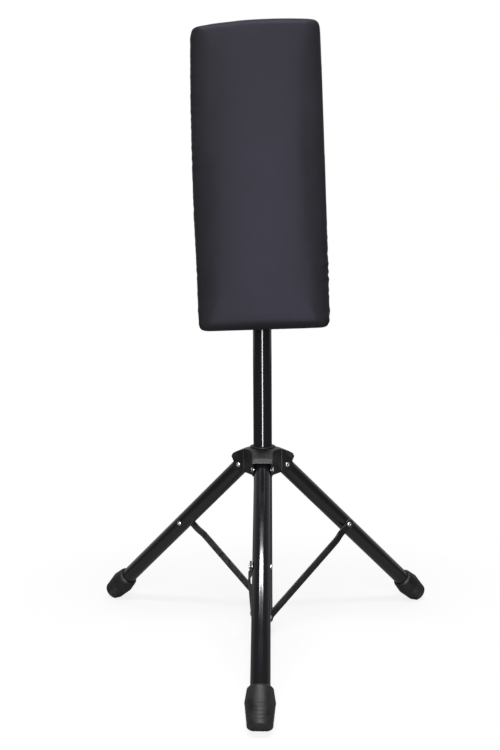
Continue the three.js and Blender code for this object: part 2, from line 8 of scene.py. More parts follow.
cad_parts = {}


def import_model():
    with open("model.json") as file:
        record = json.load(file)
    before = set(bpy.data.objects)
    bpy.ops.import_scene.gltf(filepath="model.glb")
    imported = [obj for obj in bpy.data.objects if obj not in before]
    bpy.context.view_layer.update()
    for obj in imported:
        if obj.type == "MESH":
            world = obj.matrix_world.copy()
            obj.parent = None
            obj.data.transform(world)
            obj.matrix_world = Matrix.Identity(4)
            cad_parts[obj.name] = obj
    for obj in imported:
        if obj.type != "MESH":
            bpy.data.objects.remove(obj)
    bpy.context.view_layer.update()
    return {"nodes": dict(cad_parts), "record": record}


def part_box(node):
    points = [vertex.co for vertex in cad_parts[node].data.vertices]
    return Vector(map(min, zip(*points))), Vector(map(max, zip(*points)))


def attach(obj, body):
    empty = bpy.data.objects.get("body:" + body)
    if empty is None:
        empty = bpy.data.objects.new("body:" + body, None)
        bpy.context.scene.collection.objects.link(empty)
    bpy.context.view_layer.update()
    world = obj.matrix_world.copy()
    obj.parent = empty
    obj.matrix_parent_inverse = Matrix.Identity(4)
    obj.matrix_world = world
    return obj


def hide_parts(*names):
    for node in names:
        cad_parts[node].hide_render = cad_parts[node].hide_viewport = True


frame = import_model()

MM = 0.001
LEGS = ("front", "right", "left")
X, Y, Z = Vector((1, 0, 0)), Vector((0, 1, 0)), Vector((0, 0, 1))
JOINTS = {j["name"]: j for j in frame["record"]["behaviour"]["joints"]}


# ---- Local frames -------------------------------------------------------------------------------
def spot(joint):
    return Vector(JOINTS[joint]["pos_m"])


def middle(node):
    low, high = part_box(node)
    return (Vector(low) + Vector(high)) / 2


def frame_at(origin, x_axis, y_axis):
    """Matrix from local millimetres to the row frame, with +X and +Y along the two axes."""
    x = Vector(x_axis).normalized()
    y = (Vector(y_axis) - x * x.dot(Vector(y_axis))).normalized()
    turn = Matrix((x, y, x.cross(y))).transposed().to_4x4()
    return Matrix.Translation(origin) @ turn @ Matrix.Scale(MM, 4)


AXIS = Vector((0, spot("mast_swivel").y, 0))
POST = frame_at(AXIS, X, Y)
RADIAL, LEG, BRACE = {}, {}, {}
for leg in LEGS:
    hinge = Vector(JOINTS[f"{leg}_leg_fold"]["axis"]).normalized()
    pivot = spot(f"{leg}_leg_fold")
    low_pivot = AXIS + Z * spot(f"{leg}_brace_fold").z
    down = middle(f"brace_rivet_tail_{leg}") - pivot
    rise = middle(f"brace_rivet_head_{leg}") - low_pivot
    down -= hinge * hinge.dot(down)
    rise -= hinge * hinge.dot(rise)
    RADIAL[leg] = frame_at(AXIS, (pivot - AXIS).xy.to_3d(), hinge)
    LEG[leg] = frame_at(pivot, down, hinge)
    BRACE[leg] = frame_at(low_pivot, rise, hinge)
LEG_LEAN = math.atan2(down.xy.length, -down.z)
RIVET_AT = down.length / MM  # of the brace, along the leg
BRACE_LENGTH = rise.length / MM
TILT_REST = math.radians(-JOINTS["pad_tilt"]["range_deg"][0])
REST = frame_at(spot("pad_tilt"), X, (0, math.cos(TILT_REST), -math.sin(TILT_REST)))

ALONG_X = Matrix.Rotation(math.pi / 2, 4, "Y")
ALONG_Y = Matrix.Rotation(-math.pi / 2, 4, "X")
SIDEWAYS = Matrix.Rotation(math.pi / 2, 4, "X")


def shift(x=0, y=0, z=0):
    return Matrix.Translation((x, y, z))


# ---- Materials ----------------------------------------------------------------------------------
def new_material(name, color, roughness, **constants):
    """A Principled material, its shader and its node tree. Constants go on the shader's sockets."""
    material = bpy.data.materials.new(name)
    material.use_nodes = True
    tree = material.node_tree
    shader = tree.nodes["Principled BSDF"]
    shader.inputs["Base Color"].default_value = (*color, 1)
    shader.inputs["Roughness"].default_value = roughness
    for socket, value in constants.items():
        shader.inputs[socket.replace("_", " ")].default_value = value
    return material, shader, tree


def texture(tree, kind, scale, stretch=(1, 1, 1), **settings):
    """A procedural texture in object coordinates, and its node."""
    place = tree.nodes.new("ShaderNodeTexCoord")
    mapping = tree.nodes.new("ShaderNodeMapping")
    mapping.inputs["Scale"].default_value = stretch
    node = tree.nodes.new(f"ShaderNodeTex{kind}")
    node.inputs["Scale"].default_value = scale
    tree.links.new(place.outputs["Object"], mapping.inputs["Vector"])
    tree.links.new(mapping.outputs["Vector"], node.inputs["Vector"])
    for setting, value in settings.items():
        socket = setting.replace("_", " ").title()
        if socket in node.inputs:
            node.inputs[socket].default_value = value
        else:
            setattr(node, setting, value)
    return node


def value_range(tree, source, low, high, start=0.35, stop=0.65):
    """Maps a value between start and stop to one between low and high."""
    node = tree.nodes.new("ShaderNodeMapRange")
    node.inputs["From Min"].default_value = start
    node.inputs["From Max"].default_value = stop
    node.inputs["To Min"].default_value = low
    node.inputs["To Max"].default_value = high
    tree.links.new(source, node.inputs["Value"])
    return node.outputs["Result"]


def blend_colors(tree, factor, first, second):
    """First color where the factor is 0, second where it is 1."""
    node = tree.nodes.new("ShaderNodeMix")
    node.data_type = "RGBA"
    node.inputs[6].default_value = (*first, 1)
    node.inputs[7].default_value = (*second, 1)
    tree.links.new(factor, node.inputs[0])
    return node.outputs[2]


def bumps(tree, shader, *layers):
    """Stacks bump layers, each (height socket, strength, depth in millimetres)."""
    last = None
    for height, strength, depth in layers:
        node = tree.nodes.new("ShaderNodeBump")
        node.inputs["Strength"].default_value = strength
        node.inputs["Distance"].default_value = depth * MM
        tree.links.new(height, node.inputs["Height"])
        if last:
            tree.links.new(last, node.inputs["Normal"])
        last = node.outputs["Normal"]
    tree.links.new(last, shader.inputs["Normal"])


def edge_wear(tree):
    """1 on sharp outer edges, 0 elsewhere, broken up by noise."""
    geometry = tree.nodes.new("ShaderNodeNewGeometry")
    patches = texture(tree, "Noise", 160, detail=4)
    edges = value_range(tree, geometry.outputs["Pointiness"], 0, 1, 0.52, 0.57)
    product = tree.nodes.new("ShaderNodeMath")
    product.operation = "MULTIPLY"
    tree.links.new(edges, product.inputs[0])
    tree.links.new(value_range(tree, patches.outputs["Fac"], 0.1, 1, 0.4, 0.6), product.inputs[1])
    return product.outputs[0]


def gloss_paint():
    """Black enamel baked on steel tube, with a few duller patches."""
    material, shader, tree = new_material(
        "gloss_black_paint", (0.0075, 0.0075, 0.009), 0.12, Coat_Weight=0.4, Coat_Roughness=0.05
    )
    patches = texture(tree, "Noise", 28, (1, 1, 0.4), detail=5)
    tree.links.new(value_range(tree, patches.outputs["Fac"], 0.1, 0.16), shader.inputs["Roughness"])
    return material


def satin_paint():
    """Black powder coat on pressed steel, with lighter rubbed edges."""
    material, shader, tree = new_material("satin_black_paint", (0.0075, 0.0075, 0.008), 0.42)
    color = blend_colors(tree, edge_wear(tree), (0.0075, 0.0075, 0.008), (0.045, 0.045, 0.047))
    tree.links.new(color, shader.inputs["Base Color"])
    patches = texture(tree, "Noise", 45, detail=5)
    tree.links.new(value_range(tree, patches.outputs["Fac"], 0.34, 0.5), shader.inputs["Roughness"])
    grain = texture(tree, "Noise", 1500, detail=3)
    bumps(tree, shader, (grain.outputs["Fac"], 0.25, 0.03))
    return material


def moulded_plastic(name, color, rough_low, rough_high, worn):
    """Black moulded plastic: spark-eroded grain, duller patches and greyed edges."""
    material, shader, tree = new_material(name, color, rough_low)
    dust = texture(tree, "Noise", 35, detail=8, roughness=0.65)
    clouds = value_range(tree, dust.outputs["Fac"], 0, 0.35, 0.5, 0.75)
    add = tree.nodes.new("ShaderNodeMath")
    add.operation = "ADD"
    add.use_clamp = True
    tree.links.new(clouds, add.inputs[0])
    tree.links.new(edge_wear(tree), add.inputs[1])
    tree.links.new(blend_colors(tree, add.outputs[0], color, worn), shader.inputs["Base Color"])
    tree.links.new(
        value_range(tree, dust.outputs["Fac"], rough_low, rough_high), shader.inputs["Roughness"]
    )
    grain = texture(tree, "Noise", 2200, detail=2)
    flow = texture(tree, "Noise", 90, detail=3)
    bumps(tree, shader, (flow.outputs["Fac"], 0.15, 0.1), (grain.outputs["Fac"], 0.3, 0.03))
    return material


def rubber():
    """Black rubber boot, dull and slightly dusty."""
    material, shader, tree = new_material("rubber_black", (0.008, 0.008, 0.0095), 0.5)
    dust = texture(tree, "Noise", 70, detail=8, roughness=0.7)
    dusty = value_range(tree, dust.outputs["Fac"], 0, 0.6, 0.45, 0.8)
    color = blend_colors(tree, dusty, (0.0075, 0.0075, 0.009), (0.03, 0.029, 0.031))
    tree.links.new(color, shader.inputs["Base Color"])
    tree.links.new(value_range(tree, dust.outputs["Fac"], 0.4, 0.62), shader.inputs["Roughness"])
    grain = texture(tree, "Noise", 1300, detail=4)
    bumps(tree, shader, (grain.outputs["Fac"], 0.4, 0.05))
    return material


def metal(name, color, rough_low, rough_high):
    """Plated or turned metal with fine scratches and handling marks."""
    material, shader, tree = new_material(name, color, rough_low, Metallic=1)
    marks = texture(tree, "Noise", 240, detail=6, roughness=0.6)
    tree.links.new(
        value_range(tree, marks.outputs["Fac"], rough_low, rough_high), shader.inputs["Roughness"]
    )
    darker = tuple(0.72 * c for c in color)
    tint = value_range(tree, marks.outputs["Fac"], 0, 1, 0.3, 0.6)
    tree.links.new(blend_colors(tree, tint, darker, color), shader.inputs["Base Color"])
    scratches = texture(tree, "Noise", 900, (1, 1, 6), detail=2)
    bumps(tree, shader, (scratches.outputs["Fac"], 0.15, 0.02))
    return material


def leather():
    """Black coated leather: fine pebble grain, soft folds and a slight violet cast."""
    deep, light = (0.0145, 0.0138, 0.0158), (0.018, 0.0172, 0.02)
    material, shader, tree = new_material(
        "black_leather", deep, 0.48, Specular_IOR_Level=0.14, Specular_Tint=(0.7, 0.66, 1, 1)
    )
    clouds = texture(tree, "Noise", 16, detail=6, roughness=0.55)
    tone = value_range(tree, clouds.outputs["Fac"], 0, 1, 0.3, 0.7)
    tree.links.new(blend_colors(tree, tone, deep, light), shader.inputs["Base Color"])
    tree.links.new(value_range(tree, clouds.outputs["Fac"], 0.44, 0.52), shader.inputs["Roughness"])
    pebbles = texture(tree, "Voronoi", 950, feature="DISTANCE_TO_EDGE")
    creases = value_range(tree, pebbles.outputs["Distance"], 0, 1, 0, 0.12)
    pores = texture(tree, "Noise", 2600, detail=2)
    drape = texture(tree, "Noise", 22, (1, 1, 0.6), detail=3)
    bumps(
        tree, shader, (drape.outputs["Fac"], 0.12, 1.2), (creases, 0.35, 0.045),
        (pores.outputs["Fac"], 0.2, 0.02),
    )
    return material


def felt():
    """Thin black non-woven cloth over the back of the rest."""
    material, shader, tree = new_material("black_felt", (0.012, 0.012, 0.013), 0.9, Sheen_Weight=0.2)
    fibres = texture(tree, "Noise", 900, (1, 1, 0.25), detail=6, roughness=0.7)
    dots = texture(tree, "Voronoi", 620)
    tone = value_range(tree, fibres.outputs["Fac"], 0, 1, 0.35, 0.7)
    color = blend_colors(tree, tone, (0.008, 0.008, 0.009), (0.026, 0.026, 0.028))
    tree.links.new(color, shader.inputs["Base Color"])
    bumps(tree, shader, (dots.outputs["Distance"], 0.5, 0.12), (fibres.outputs["Fac"], 0.4, 0.08))
    return material


def plywood():
    """Bare plywood with stretched growth rings."""
    material, shader, tree = new_material("plywood", (0.5, 0.33, 0.18), 0.7)
    rings = texture(tree, "Wave", 60, (1, 1, 0.08), distortion=6, detail=3)
    color = blend_colors(tree, rings.outputs["Fac"], (0.36, 0.22, 0.11), (0.6, 0.42, 0.24))
    tree.links.new(color, shader.inputs["Base Color"])
    bumps(tree, shader, (rings.outputs["Fac"], 0.3, 0.1))
    return material


MATERIALS = {
    "gloss_black_paint": gloss_paint(),
    "satin_black_paint": satin_paint(),
    "moulded_black": moulded_plastic(
        "moulded_black", (0.008, 0.008, 0.0085), 0.32, 0.5, (0.09, 0.088, 0.086)
    ),
    "knob_black": moulded_plastic("knob_black", (0.012, 0.012, 0.0125), 0.4, 0.6, (0.06, 0.06, 0.06)),
    "nylon_black": moulded_plastic("nylon_black", (0.018, 0.018, 0.019), 0.45, 0.6, (0.05, 0.05, 0.05)),
    "rubber_black": rubber(),
    "zinc_plate": metal("zinc_plate", (0.86, 0.87, 0.89), 0.24, 0.42),
    "brass_insert": metal("brass_insert", (0.72, 0.53, 0.26), 0.2, 0.36),
    "black_leather": leather(),
    "black_felt": felt(),
    "plywood": plywood(),
}


# ---- Mesh tools ---------------------------------------------------------------------------------
def rounded(points, closed=False, step=15):
    """Plain points of a line whose corners (x, y, radius) are rounded to their radius."""
    line = []
    count = len(points)
    for i, (x, y, *radius) in enumerate(points):
        here = Vector((x, y))
        if not radius or (not closed and i in (0, count - 1)):
            line.append(here)
            continue
        back = Vector(points[i - 1][:2]) - here
        on = Vector(points[(i + 1) % count][:2]) - here
        half = back.angle(on) / 2
        reach = min(radius[0] / math.tan(half), 0.49 * back.length, 0.49 * on.length)
        bisector = (back.normalized() + on.normalized()).normalized()
        centre = here + bisector * reach / math.cos(half)
        first = here + back.normalized() * reach - centre
        turn = (here + on.normalized() * reach - centre).angle_signed(first)
        steps = max(1, math.ceil(abs(math.degrees(turn)) / step))
        line += [centre + Matrix.Rotation(turn * k / steps, 2) @ first for k in range(steps + 1)]
    return line


def mesh_from(bm):
    """The finished mesh of a bmesh, without double points and with its faces turned outwards."""
    bmesh.ops.remove_doubles(bm, verts=bm.verts, dist=1e-7)
    bmesh.ops.recalc_face_normals(bm, faces=bm.faces)
    mesh = bpy.data.meshes.new("shape")
    bm.to_mesh(mesh)
    bm.free()
    return mesh


def lathe(profile, place, sides=64, closed=False):
    """Mesh of (radius, height) points turned about the local Z axis of place."""
    bm = bmesh.new()
    rings = []
    for radius, height in profile:
        if radius < 1e-6:
            rings.append([bm.verts.new(place @ Vector((0, 0, height)))])
            continue
        angles = [2 * math.pi * k / sides for k in range(sides)]
        rings.append([
            bm.verts.new(place @ Vector((radius * math.cos(a), radius * math.sin(a), height)))
            for a in angles
        ])
    pairs = list(zip(rings, rings[1:] + (rings[:1] if closed else [])))
    for low, high in pairs[: None if closed else len(rings) - 1]:
        for k in range(sides):
            corners = [low[k % len(low)], low[(k + 1) % len(low)],
                       high[(k + 1) % len(high)], high[k % len(high)]]
            corners = list(dict.fromkeys(corners))
            if len(corners) > 2:
                bm.faces.new(corners)
    return mesh_from(bm)


def prism(outline, low, high, place):
    """Mesh of a closed outline extruded along local Z."""
    bm = bmesh.new()
    ends = [[bm.verts.new(place @ Vector((x, y, z))) for x, y in outline] for z in (low, high)]
    bm.faces.new(ends[0])
    bm.faces.new(ends[1])
    count = len(outline)
    for k in range(count):
        m = (k + 1) % count
        bm.faces.new((ends[0][k], ends[0][m], ends[1][m], ends[1][k]))
    return mesh_from(bm)


def skinned(loops):
    """Closed mesh over loops with the same number of points, capped at both ends."""
    bm = bmesh.new()
    made = [[bm.verts.new(point) for point in loop] for loop in loops]
    size = len(made[0])
    for low, high in zip(made, made[1:]):
        for k in range(size):
            m = (k + 1) % size
            bm.faces.new((low[k], low[m], high[m], high[k]))
    bm.faces.new(made[0])
    bm.faces.new(made[-1][::-1])
    return mesh_from(bm)


def temporary(mesh):
    """An object for modifiers to work on, removed by whoever asked for it."""
    obj = bpy.data.objects.new("temporary", mesh)
    bpy.context.collection.objects.link(obj)
    return obj


def applied(obj):
    """The object's mesh with its modifiers applied."""
    graph = bpy.context.evaluated_depsgraph_get()
    return bpy.data.meshes.new_from_object(obj.evaluated_get(graph))


def cast(parts, cuts, voxel, soften):
    """Mesh of the parts joined and the cuts taken out. A voxel size in millimetres rounds every
    edge as in a moulding, 0 leaves them sharp, and soften is how often the result is smoothed."""
    obj = temporary(parts[0])
    others = [(temporary(m), "UNION") for m in parts[1:]]
    others += [(temporary(m), "DIFFERENCE") for m in cuts]
    for other, operation in others:
        boolean = obj.modifiers.new("boolean", "BOOLEAN")
        boolean.solver = "EXACT"
        boolean.operation = operation
        boolean.object = other
    if voxel:
        remesh = obj.modifiers.new("remesh", "REMESH")
        remesh.mode = "VOXEL"
        remesh.voxel_size = voxel * MM
        smooth = obj.modifiers.new("smooth", "SMOOTH")
        smooth.factor = 0.5
        smooth.iterations = soften
    mesh = applied(obj)
    for used in [obj] + [other for other, _ in others]:
        bpy.data.objects.remove(used)
    return mesh


def join(meshes):
    """One mesh of several."""
    bm = bmesh.new()
    for mesh in meshes:
        bm.from_mesh(mesh)
    joined = bpy.data.meshes.new("joined")
    bm.to_mesh(joined)
    bm.free()
    return joined


def show(name, mesh, body, slot, *nodes, sharp=32):
    """Puts a mesh in the scene as a piece on a body, standing for CAD nodes."""
    obj = bpy.data.objects.new(name, mesh)
    mesh.name = name
    bpy.context.collection.objects.link(obj)
    mesh.materials.clear()
    mesh.materials.append(MATERIALS[slot])
    mesh.shade_smooth()
    mesh.set_sharp_from_angle(angle=math.radians(sharp))
    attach(obj, body)
    if nodes:
        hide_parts(*nodes)
    return obj


def circle(radius, centre=(0, 0), steps=48):
    """Points of a full circle."""
    angles = [2 * math.pi * k / steps for k in range(steps)]
    return [(centre[0] + radius * math.cos(a), centre[1] + radius * math.sin(a)) for a in angles]


# ---- Tubes --------------------------------------------------------------------------------------
COLUMN_R, MAST_R, LEG_R = 14, 12.5, 12.5
TUBE_WALL = 1.2
TUBE_LIP_R = 0.5
LEG_FROM, LEG_TO = -5, 354.5  # along the leg, from its hinge


def tube_profile(radius, low, high):
    """Tube wall with its cut edges broken."""
    bore = radius - TUBE_WALL
    corners = ((radius, low), (radius, high), (bore, high), (bore, low))
    return rounded([(*corner, TUBE_LIP_R) for corner in corners], closed=True)


def z_span(node):
    """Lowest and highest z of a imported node, in millimetres."""
    low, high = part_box(node)
    return low[2] / MM, high[2] / MM


def tubes():
    low, high = z_span("centre_column")
    show("column_tube", lathe(tube_profile(COLUMN_R, low, high), POST, 96, True), "column",
         "gloss_black_paint", "centre_column")
    low, high = z_span("mast_tube")
    show("telescoping_mast", lathe(tube_profile(MAST_R, low, high), POST, 96, True), "mast",
         "gloss_black_paint", "mast_tube")
    for leg in LEGS:
        profile = tube_profile(LEG_R, LEG_FROM, LEG_TO)
        show(f"{leg}_leg_tube", lathe(profile, LEG[leg] @ ALONG_X, 96, True), f"{leg}_leg",
             "gloss_black_paint", f"leg_tube_{leg}")


# ---- Feet ---------------------------------------------------------------------------------------
FOOT_END = 367  # along the leg, from its hinge
FOOT_LENGTH = 48
FOOT_TOE_R, FOOT_WIDE_R = 15.9, 19
FOOT_GROOVES, GROOVE_PITCH = 5, 4.4


def foot_profile():
    """Boot from its end to its mouth: rounded toe, ringed lower half, chamfered shoulder."""
    rim = FOOT_END - FOOT_LENGTH
    widest = rim + 19.5
    taper = (FOOT_WIDE_R - FOOT_TOE_R) / (FOOT_END - 3 - widest)
    line = [(0, FOOT_END - 0.8), (11, FOOT_END - 0.8, 2), (11.8, FOOT_END, 0.6), (15.7, FOOT_END, 4.2)]
    for k in range(FOOT_GROOVES):
        groove = FOOT_END - 5.5 - GROOVE_PITCH * k
        r = FOOT_TOE_R + (FOOT_END - 3 - groove) * taper
        line += [(r, groove, 0.5), (r - 0.6, groove - 0.7, 0.4), (r + 0.1, groove - 1.5, 0.5)]
    line += [(19.1, widest, 2), (16.5, rim + 2.8, 1.2), (13.8, rim, 0.6)]
    line += [(12.7, rim + 0.2, 0.2), (12.7, rim + 30), (0, rim + 30)]
    return rounded(line)


def feet():
    for leg in LEGS:
        mesh = lathe(foot_profile(), LEG[leg] @ ALONG_X, 96)
        # Flat where it stands on the floor.
        for vertex in mesh.vertices:
            vertex.co.z = max(vertex.co.z, 0)
        show(f"{leg}_foot", mesh, f"{leg}_leg", "rubber_black", f"foot_{leg}", sharp=50)


# ---- Rivets -------------------------------------------------------------------------------------
RIVET_SHANK_R, RIVET_HEAD_R = 2.5, 3.7


def rivet_head(radius, face, height):
    """Half profile of a tubular rivet's rolled head, from its rim in to its middle."""
    top = face + height
    return [(radius, face, 0.1), (radius, face + 0.5, 0.4), (radius * 0.66, top, 1.2),
            (radius * 0.34, top, 0.4), (radius * 0.26, top - 0.9, 0.3), (0, top - 0.9)]


def rivet(ends, shank, radius, height):
    """Half profile of a rivet. Each end is its height and whether it has a rolled head there."""
    low, high = ends
    if low[1]:
        under = [(r, -h, *f) for r, h, *f in rivet_head(radius, -low[0], height)][::-1]
    else:
        under = [(0, low[0]), (shank, low[0], 0.3)]
    over = rivet_head(radius, high[0], height) if high[1] else [(shank, high[0], 0.3), (0, high[0])]
    return rounded(under + [(shank, low[0] + 0.05), (shank, high[0] - 0.05)] + over)


# ---- Hub ----------------------------------------------------------------------------------------
HUB_LOW, HUB_HIGH = 249.5, 287.8
PIVOT_R = (spot("front_leg_fold") - AXIS).xy.length / MM
PIVOT_Z = spot("front_leg_fold").z / MM
HUB_KNOB_Z = spot("hub_knob_turn").z / MM
FOLDED_LEAN = LEG_LEAN - math.radians(JOINTS["front_leg_fold"]["range_deg"][1])
HUB_BORE_R = 16.3
COLUMN_FIT_R = COLUMN_R + 0.35  # bore of what sits round the column
WALL_AT = 25.2
CORNER_BEAD_R = 2
LUG_HALF = 15
LUG_EYE_R = 10
SLOT_HALF = 12.8
SLOT_ROOM = 4  # more, above the open leg
PLUG_ROOM_R = 14.2
ROOF = [(19.4, HUB_HIGH), (29, 284.9, 30), (43.5, 278.4, 6), (47.2, 271.8, 1)]  # radius, height, round
CLEAR = 60  # far enough for a cut to leave the hub


def arc(centre, radius, start, stop, step=8):
    """Points from the start angle to the stop angle, in degrees, about one step apart."""
    count = max(2, math.ceil(abs(stop - start) / step))
    angles = [math.radians(start + (stop - start) * k / count) for k in range(count + 1)]
    return [(centre[0] + radius * math.cos(a), centre[1] + radius * math.sin(a)) for a in angles]


def lug_profile():
    """Side view of a lug, as radius and height: roof, visor tip, rounded eye and flat underside."""
    eye = arc((PIVOT_R, PIVOT_Z), LUG_EYE_R, -90, 27)
    top = rounded([eye[-1]] + ROOF[::-1])
    return [(10, HUB_LOW), (28, HUB_LOW)] + eye + top[1:] + [(10, HUB_HIGH)]


def slot_cuts(leg):
    """Room for the leg's top end and its swing, and for its rivet."""
    def edge(lean, side, distance):
        return (PIVOT_R + distance * math.sin(lean) + side * math.cos(lean),
                PIVOT_Z - distance * math.cos(lean) + side * math.sin(lean))

    above = SLOT_HALF + SLOT_ROOM
    sweep = [edge(LEG_LEAN, above, 0), edge(FOLDED_LEAN, -SLOT_HALF, 0),
             edge(FOLDED_LEAN, -SLOT_HALF, CLEAR), edge(LEG_LEAN, above, CLEAR)]
    side = RADIAL[leg] @ SIDEWAYS
    ball = circle(PLUG_ROOM_R, (PIVOT_R, PIVOT_Z), 64)
    return [prism(sweep, -SLOT_HALF, SLOT_HALF, side), prism(ball, -SLOT_HALF, SLOT_HALF, side)]


def hub():
    """Casting with a six-cornered core, a bead on each corner, three lugs and a turned roof."""
    corner_r = 2 * WALL_AT - LUG_HALF * math.sqrt(3)
    plan = []
    for leg in LEGS:
        to_post = POST.inverted() @ RADIAL[leg]
        plan += [(to_post @ Vector((corner_r, side, 0))).xy for side in (-LUG_HALF, LUG_HALF)]
    bead = [(0, HUB_LOW + 1), (CORNER_BEAD_R, HUB_LOW + 1),
            (CORNER_BEAD_R, HUB_HIGH + 1), (0, HUB_HIGH + 1)]
    parts = [prism(plan, HUB_LOW, HUB_HIGH, POST)]
    parts += [lathe(bead, POST @ shift(x, y), 16) for x, y in plan]
    parts += [prism(lug_profile(), -LUG_HALF, LUG_HALF, RADIAL[leg] @ SIDEWAYS) for leg in LEGS]
    roof = rounded(ROOF[:3] + [(CLEAR, 270)])
    above = roof + [(CLEAR, 320), (ROOF[0][0], 320)]
    bore = [(0, HUB_LOW - 5), (HUB_BORE_R, HUB_LOW - 5), (HUB_BORE_R, HUB_HIGH + 5), (0, HUB_HIGH + 5)]
    knob_place = POST @ shift(0, 0, HUB_KNOB_Z) @ ALONG_Y
    cuts = [lathe(above, POST, 96, True), lathe(bore, POST, 96)]
    cuts += [cut for leg in LEGS for cut in slot_cuts(leg)]
    cuts.append(prism(circle(6, steps=6), 19.9, 40, knob_place))
    mesh = cast(parts, cuts, 0.5, 5)
    show("hub_casting", mesh, "hub", "moulded_black", "leg_hub", sharp=180)

    sleeve = [(COLUMN_FIT_R, HUB_LOW + 0.4, 0.4), (16, HUB_LOW + 0.4, 0.4), (16, HUB_HIGH - 0.4),
              (17.2, HUB_HIGH + 0.3), (19, HUB_HIGH + 0.5, 0.3), (18.9, HUB_HIGH + 2, 0.7),
              (15.4, HUB_HIGH + 2.4, 0.4), (COLUMN_FIT_R, HUB_HIGH + 1.7, 0.3)]
    show("hub_liner", lathe(rounded(sleeve, True), POST, 96, True), "hub", "nylon_black", "hub_bush")
    hexagon = prism(circle(5.6, steps=6), 20.2, 24.9, knob_place)
    show("hub_lock_nut", hexagon, "hub", "zinc_plate", "hub_nut")
    for leg in LEGS:
        place = RADIAL[leg] @ shift(PIVOT_R, 0, PIVOT_Z) @ ALONG_Y
        face = LUG_HALF + 0.2
        profile = rivet(((-face, True), (face, True)), RIVET_SHANK_R, RIVET_HEAD_R, 1.6)
        show(f"{leg}_leg_rivet", lathe(profile, place, 40), "hub", "zinc_plate",
             f"leg_pivot_rivet_{leg}")


# ---- Legs and braces ----------------------------------------------------------------------------
BRACE_HALF = 5.75
BRACE_EYE_R = 7.5
BRACE_THICK = 2.5
BEAD_HALF, BEAD_HEIGHT = 2.8, 0.9
BRACE_INNER = 16.4  # of the brace's inner face at the column, from the leg's mid-plane
TAB_INNER = 13.1  # the same at the leg
LOW_HEAD_R = 4  # of the rivet at the column
PLUG_DOME_R = 13.4


def ease(value, start, stop):
    """0 before start, 1 after stop, and a smooth rise between them."""
    t = min(1, max(0, (value - start) / (stop - start)))
    return t * t * (3 - 2 * t)


def brace_section(x):
    """Loop of (across, depth) points of the pressed bar at x: rounded edges and a raised bead."""
    half = BRACE_HALF
    for centre in (0, BRACE_LENGTH):
        if abs(x - centre) < BRACE_EYE_R:
            eye = math.sqrt(BRACE_EYE_R**2 - (x - centre) ** 2)
            outside = x < 0 or x > BRACE_LENGTH
            half = eye if outside else max(half, eye)
    inner = BRACE_INNER + (TAB_INNER - BRACE_INNER) * ease(x, BRACE_LENGTH - 36, BRACE_LENGTH - 18)
    outer = inner + BRACE_THICK
    bead = BEAD_HEIGHT * ease(x, 12, 22) * (1 - ease(x, BRACE_LENGTH - 52, BRACE_LENGTH - 40))
    chamfer = min(0.45, half * 0.4)
    loop = [(-half, inner + chamfer), (-half + chamfer, inner), (half - chamfer, inner),
            (half, inner + chamfer), (half, outer - chamfer), (half - chamfer, outer)]
    for a in (BEAD_HALF, 2.1, 1.2, 0, -1.2, -2.1, -BEAD_HALF):
        side = min(half * 0.5, abs(a)) * (1 if a > 0 else -1)
        loop.append((side, outer + bead * (1 - (a / BEAD_HALF) ** 2)))
    return loop + [(-half + chamfer, outer), (-half, outer - chamfer)]


def brace_mesh(place):
    """Pressed bar with a round eye at each end and a step towards the leg."""
    ends = [BRACE_EYE_R * math.cos(math.radians(a)) for a in range(4, 91, 6)]
    spots = [-e for e in ends] + [BRACE_LENGTH + e for e in ends]
    spots += [BRACE_EYE_R * k / 6 for k in range(1, 7)]
    spots += [BRACE_LENGTH - BRACE_EYE_R * k / 6 for k in range(1, 7)]
    run = BRACE_LENGTH - 2 * BRACE_EYE_R
    spots += [BRACE_EYE_R + run * k / 60 for k in range(1, 60)]
    return skinned([[place @ Vector((x, -depth, across)) for across, depth in brace_section(x)]
                    for x in sorted(spots)])


def legs_and_braces():
    for leg in LEGS:
        angles = [math.radians(a) for a in range(0, 61, 6)]
        dome = [(PLUG_DOME_R * math.sin(a), -PLUG_DOME_R * math.cos(a)) for a in angles]
        plug = dome + [(12.3, -5.2), (11, -5.2), (11, 13), (0, 13)]
        show(f"{leg}_leg_plug", lathe(plug, LEG[leg] @ ALONG_X, 64), f"{leg}_leg", "nylon_black",
             f"leg_top_plug_{leg}")
        across = LEG[leg] @ shift(RIVET_AT) @ ALONG_Y
        tail = rivet(((-12.6, False), (12.75, True)), RIVET_SHANK_R, RIVET_HEAD_R, 1.5)
        show(f"{leg}_rivet_shank", lathe(tail, across, 40), f"{leg}_leg", "zinc_plate",
             f"brace_rivet_tail_{leg}")
        show(f"{leg}_brace_bar", brace_mesh(BRACE[leg]), f"{leg}_brace", "satin_black_paint",
             f"brace_{leg}")
        across = BRACE[leg] @ shift(BRACE_LENGTH) @ ALONG_Y
        face = -TAB_INNER - BRACE_THICK - 0.1
        head = rivet(((face, True), (-12.95, False)), RIVET_SHANK_R, RIVET_HEAD_R, 1.5)
        show(f"{leg}_rivet_head", lathe(head, across, 40), f"{leg}_brace", "zinc_plate",
             f"brace_rivet_head_{leg}")
        across = RADIAL[leg] @ shift(0, 0, spot(f"{leg}_brace_fold").z / MM) @ ALONG_Y
        face = -BRACE_INNER - BRACE_THICK - 0.1
        low = rivet(((face, True), (-6, False)), RIVET_SHANK_R, LOW_HEAD_R, 1.6)
        show(f"{leg}_lower_rivet", lathe(low, across, 40), "column", "zinc_plate",
             f"brace_pivot_rivet_{leg}")
        ring = rounded([(2.8, -16.1, 0.2), (6, -16.1, 0.4), (6, -14.3, 0.2), (2.8, -14.3, 0.2)], True)
        show(f"{leg}_spacer", lathe(ring, across, 48, True), "column", "nylon_black",
             f"brace_spacer_{leg}")


